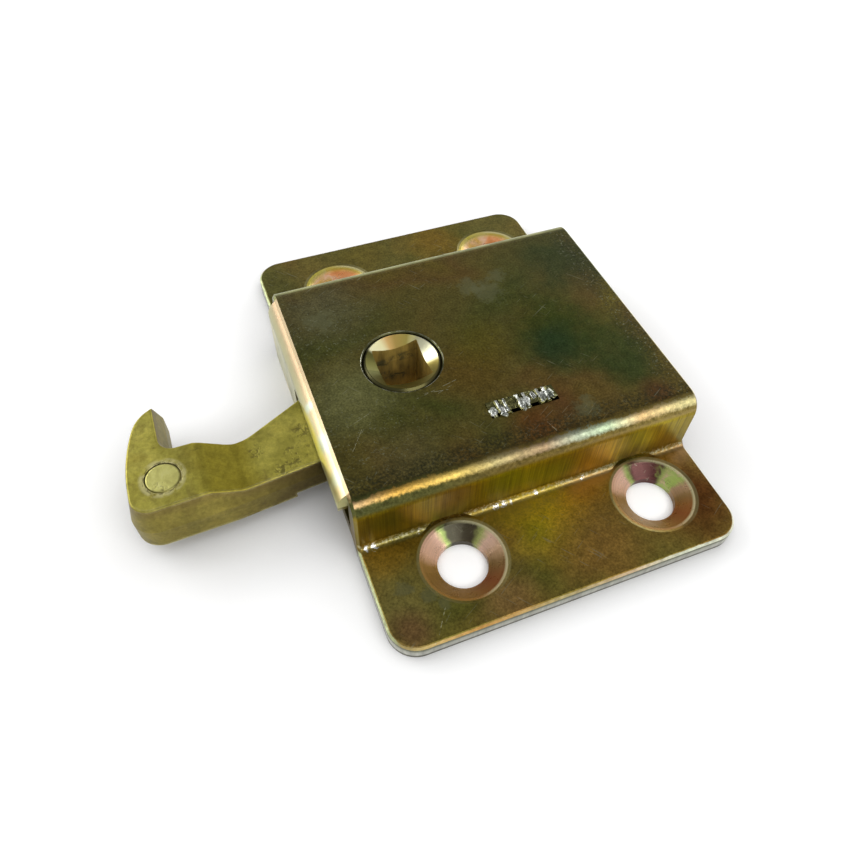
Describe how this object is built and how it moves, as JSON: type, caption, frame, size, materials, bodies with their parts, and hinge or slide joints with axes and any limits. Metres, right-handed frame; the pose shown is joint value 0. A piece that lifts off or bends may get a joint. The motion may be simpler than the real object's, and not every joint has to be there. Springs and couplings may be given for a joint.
{
  "type": "square-key hook lock",
  "caption": "Surface-mounted boot lock: a square key turns a sprung cast hook in a pressed steel case with two screw flanges.",
  "frame": {"origin": "the hook's pivot axis, in the plane of the mounting face", "axes": "+Z out of the mounting face along the pivot axis; the hook points to -X and its throat opens to +Y"},
  "size_m": [0.0787, 0.0769, 0.0128],
  "materials": {
    "case_cover": "yellow-passivated zinc plate, iridescent olive and brown",
    "base_plate": "yellow-passivated zinc plate",
    "hook_lever": "as cast, dull, worn bright on the edges",
    "nose_pin": "riveted flush",
    "spring_anchor": "plain, bright where it is staked",
    "leaf_spring": "blued spring steel",
    "spring_rivets": "plain"
  },
  "bodies": {
    "case": {"case_cover": "case_cover", "base_plate": "base_plate", "spring_anchor": "spring_anchor", "leaf_spring": "leaf_spring", "spring_rivets": "spring_rivets"},
    "hook": {"hook_lever": "hook_lever", "nose_pin": "nose_pin"}
  },
  "joints": [
    {"name": "hook_pivot", "type": "hinge", "parent": "case", "child": "hook", "pos_m": [0, 0, 0.006], "axis": [0, 0, 1], "range_deg": [0, 22], "stiffness_Nm_per_rad": 0.25, "springref_deg": -20.05, "deforming": ["leaf_spring"]}
  ]
}
